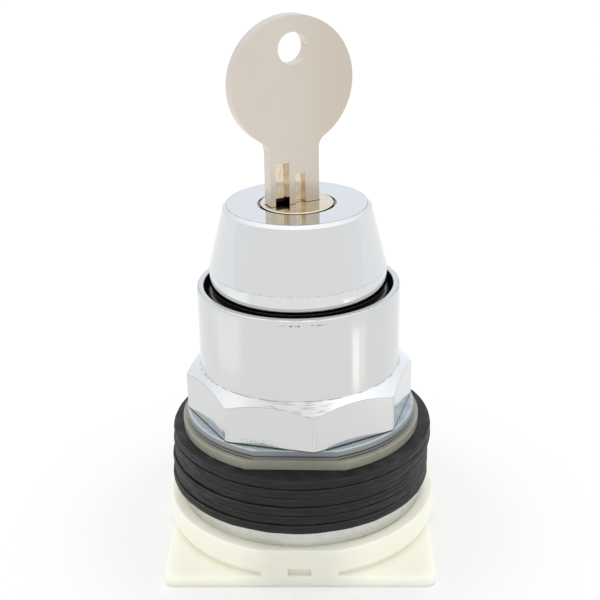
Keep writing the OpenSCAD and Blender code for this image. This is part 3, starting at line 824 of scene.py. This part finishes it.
def rear_base():
    """A square plate with a round boss, undercut round its foot except at the front, where a notch is."""
    lo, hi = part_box("rear_base")
    half, top = -lo[1], hi[2]
    plate = 2 * MM
    boss, undercut = 22.95 * MM, 22.35 * MM
    lip = plate + 0.9 * MM
    recess, guide = 11.2 * MM, 13.45 * MM
    bore = recess - 0.7 * MM          # the recess is cut to its size later, right through
    front, notch = 6.3 * MM, 1.9 * MM
    piece = block("rear_base", (-half, -half, 0), (half, half, plate))
    rounded_corners(piece, 1.5 * MM)
    body = turned("boss", [
        (bore, plate / 2, 0), (undercut, plate / 2, 0), (undercut, lip, 0.25 * MM), (boss, lip, 0.3 * MM),
        (boss, top, 0.35 * MM), (guide, top, 0.1 * MM), (guide, 3 * MM, 0), (bore, 3 * MM, 0),
    ], sides=192)
    for side in (-1, 1):
        slice_off(body, (0, side * half, 0), (0, side, 0))
    combine(piece, [body], "UNION")
    edged(piece, 0.15 * MM, 2, 40)
    filling = block("front", (-front, -half, plate / 2), (front, 2 * MM - half, lip + 0.6 * MM))
    combine(piece, [filling], "UNION")
    holes = [
        block("notch", (-notch, -half - MM, plate), (notch, 0.7 * MM - half, 3.5 * MM)),
        rod("recess", recess, -MM, 4 * MM),
    ]
    for side in (-1, 1):
        holes.append(rod("insert_hole", 2.2 * MM, -MM, 6 * MM, (0, side * 17 * MM), 48))
        holes.append(rod("screw_hole", 1.5 * MM, -MM, 8 * MM, (side * 17.6 * MM, 0), 48))
        holes.append(rod("screw_head", 2.7 * MM, -MM, 1.9 * MM, (side * 17.6 * MM, 0), 48))
    combine(piece, holes)
    place(piece, "rear_base", SURFACES["natural_nylon"])


def rounded_corners(piece, radius):
    """Round the upright edges of a block."""
    only(piece)
    bpy.ops.object.mode_set(mode="EDIT")
    bpy.ops.mesh.select_all(action="DESELECT")
    bpy.ops.mesh.select_mode(type="EDGE")
    bpy.ops.object.mode_set(mode="OBJECT")
    mesh = piece.data
    for edge in mesh.edges:
        a, b = (mesh.vertices[i].co for i in edge.vertices)
        edge.select = abs(a.z - b.z) > 0.5 * MM
    bpy.ops.object.mode_set(mode="EDIT")
    bpy.ops.mesh.bevel(offset=radius, segments=8)
    bpy.ops.object.mode_set(mode="OBJECT")


def lock_plug():
    """A round face on a thinner body, with the keyway, the wafers' slots and a slot for the drive shaft."""
    lo = low("lock_plug")
    face, body, tail = 5.95 * MM, 5.5 * MM, 4.2 * MM
    shoulder_z = PLUG_TOP - 2.6 * MM
    tail_z = 32 * MM
    slot = 0.55 * MM
    keyway = 1.25 * MM
    piece = rod("lock_plug", face, shoulder_z, PLUG_TOP)
    combine(piece, [
        rod("plug_body", body, tail_z, shoulder_z + 0.3 * MM),
        rod("plug_tail", tail, lo[2], tail_z + 0.2 * MM, sides=96),
    ], "UNION")
    edged(piece, 0.4 * MM, 4, 60)
    past = PLUG_TOP + MM
    tools = [
        block("keyway", (-4.75 * MM, -keyway, tail_z + 2 * MM), (3.15 * MM, keyway, past)),
        block("keyway_mouth", (-5.25 * MM, -keyway, shoulder_z + 0.1 * MM), (3.65 * MM, keyway, past)),
        block("tail_slot", (-5 * MM, -1.1 * MM, lo[2] - MM), (5 * MM, 1.1 * MM, 30.6 * MM)),
    ]
    for z in WAFERS_Z:
        tools.append(block("wafer_slot", (-7 * MM, -2.5 * MM, z - slot), (7 * MM, 2.5 * MM, z + slot)))
        tools.append(block("spring_slot", (-2.6 * MM, 2 * MM, z - slot), (2.5 * MM, 4.6 * MM, z + slot)))
    combine(piece, tools)
    ward_foot, ward_top = PLUG_TOP - 2.2 * MM, PLUG_TOP - 0.02 * MM
    ward = block("ward", (-0.65 * MM, -1.4 * MM, ward_foot), (0.95 * MM, -0.4 * MM, ward_top))
    combine(piece, [ward], "UNION")
    moved(piece, turn=KEY_ANGLE)
    place(piece, "lock_plug", SURFACES["nickel_brass"])


# ---------------------------------------------------------------- studio

def card(name, azimuth, distance, width, radiance, colour):
    """A low glowing card that shows only in reflections. Its azimuth is counted from the front."""
    height = 14 * MM
    data = bpy.data.lights.new(name, "AREA")
    data.shape = "RECTANGLE"
    data.size, data.size_y = width, height
    data.energy = radiance * math.pi * width * height
    data.color = colour
    light = bpy.data.objects.new(name, data)
    a = math.radians(azimuth)
    light.location = (distance * math.sin(a), -distance * math.cos(a), height / 2 + MM)
    light.rotation_euler = (math.pi / 2, 0, a)
    light.visible_camera = False
    bpy.context.scene.collection.objects.link(light)


def studio():
    """A pale floor under a white tent that is brighter overhead, with two pairs of cards at the sides."""
    deselect()
    bpy.ops.mesh.primitive_plane_add(size=3, location=(0, 0, low("rear_base")[2]))
    floor = bpy.context.object
    floor.name = "floor"
    paint = Surface("floor_paint", Roughness=0.6)
    paint.set("Base Color", (0.88, 0.88, 0.875))
    floor.data.materials.append(paint.material)

    world = bpy.data.worlds.new("studio")
    world.use_nodes = True
    tent = Graph(world.node_tree, "Background")
    facing = tent.node("ShaderNodeTexCoord", output="Generated")
    y, z = (tent.node("ShaderNodeSeparateXYZ", None, [facing], output=which) for which in "YZ")
    front, back, overhead = (0.98, 0.98, 0.97), (0.99, 1.03, 1.09), (1.45, 1.46, 1.47)
    walls = tent.mix(y.above(0.0, 0.9), front, back)
    tent.set("Color", tent.mix(z.above(0.75, 0.45), walls, overhead))
    bpy.context.scene.world = world

    card("right_card", 61, 75 * MM, 10 * MM, 0.28, (1.0, 0.95, 0.86))
    card("right_wide", 65, 76 * MM, 24 * MM, 0.14, (1.0, 0.97, 0.90))
    card("left_card", -78, 80 * MM, 44 * MM, 0.09, (1.0, 1.0, 1.0))
    card("left_wide", -82, 84 * MM, 70 * MM, 0.05, (0.95, 1.0, 1.0))

    bpy.context.scene.view_settings.view_transform = "Standard"


def camera():
    data = bpy.data.cameras.new("camera")
    data.lens = 75.3
    data.sensor_width = 36
    data.clip_start = 0.01
    data.shift_x = 0.0022
    view = bpy.data.objects.new("camera", data)
    distance, height = 192.4 * MM, 121.55 * MM
    turn, pitch, roll = (math.radians(a) for a in (1.75, 22.62, -1.04))
    view.location = (distance * math.sin(turn), -distance * math.cos(turn), height)
    facing = Euler((math.pi / 2 - pitch, 0, turn)).to_matrix() @ Euler((0, 0, roll)).to_matrix()
    view.rotation_euler = facing.to_euler()
    bpy.context.scene.collection.objects.link(view)
    bpy.context.scene.camera = view


camera()
dress_cad_nodes()
key()
lock_plug()
lock_cap()
ring_nut()
trim_washer()
insulating_ring()
panel_gaskets()
threaded_barrel()
cap_seal()
rear_base()
studio()
deselect()
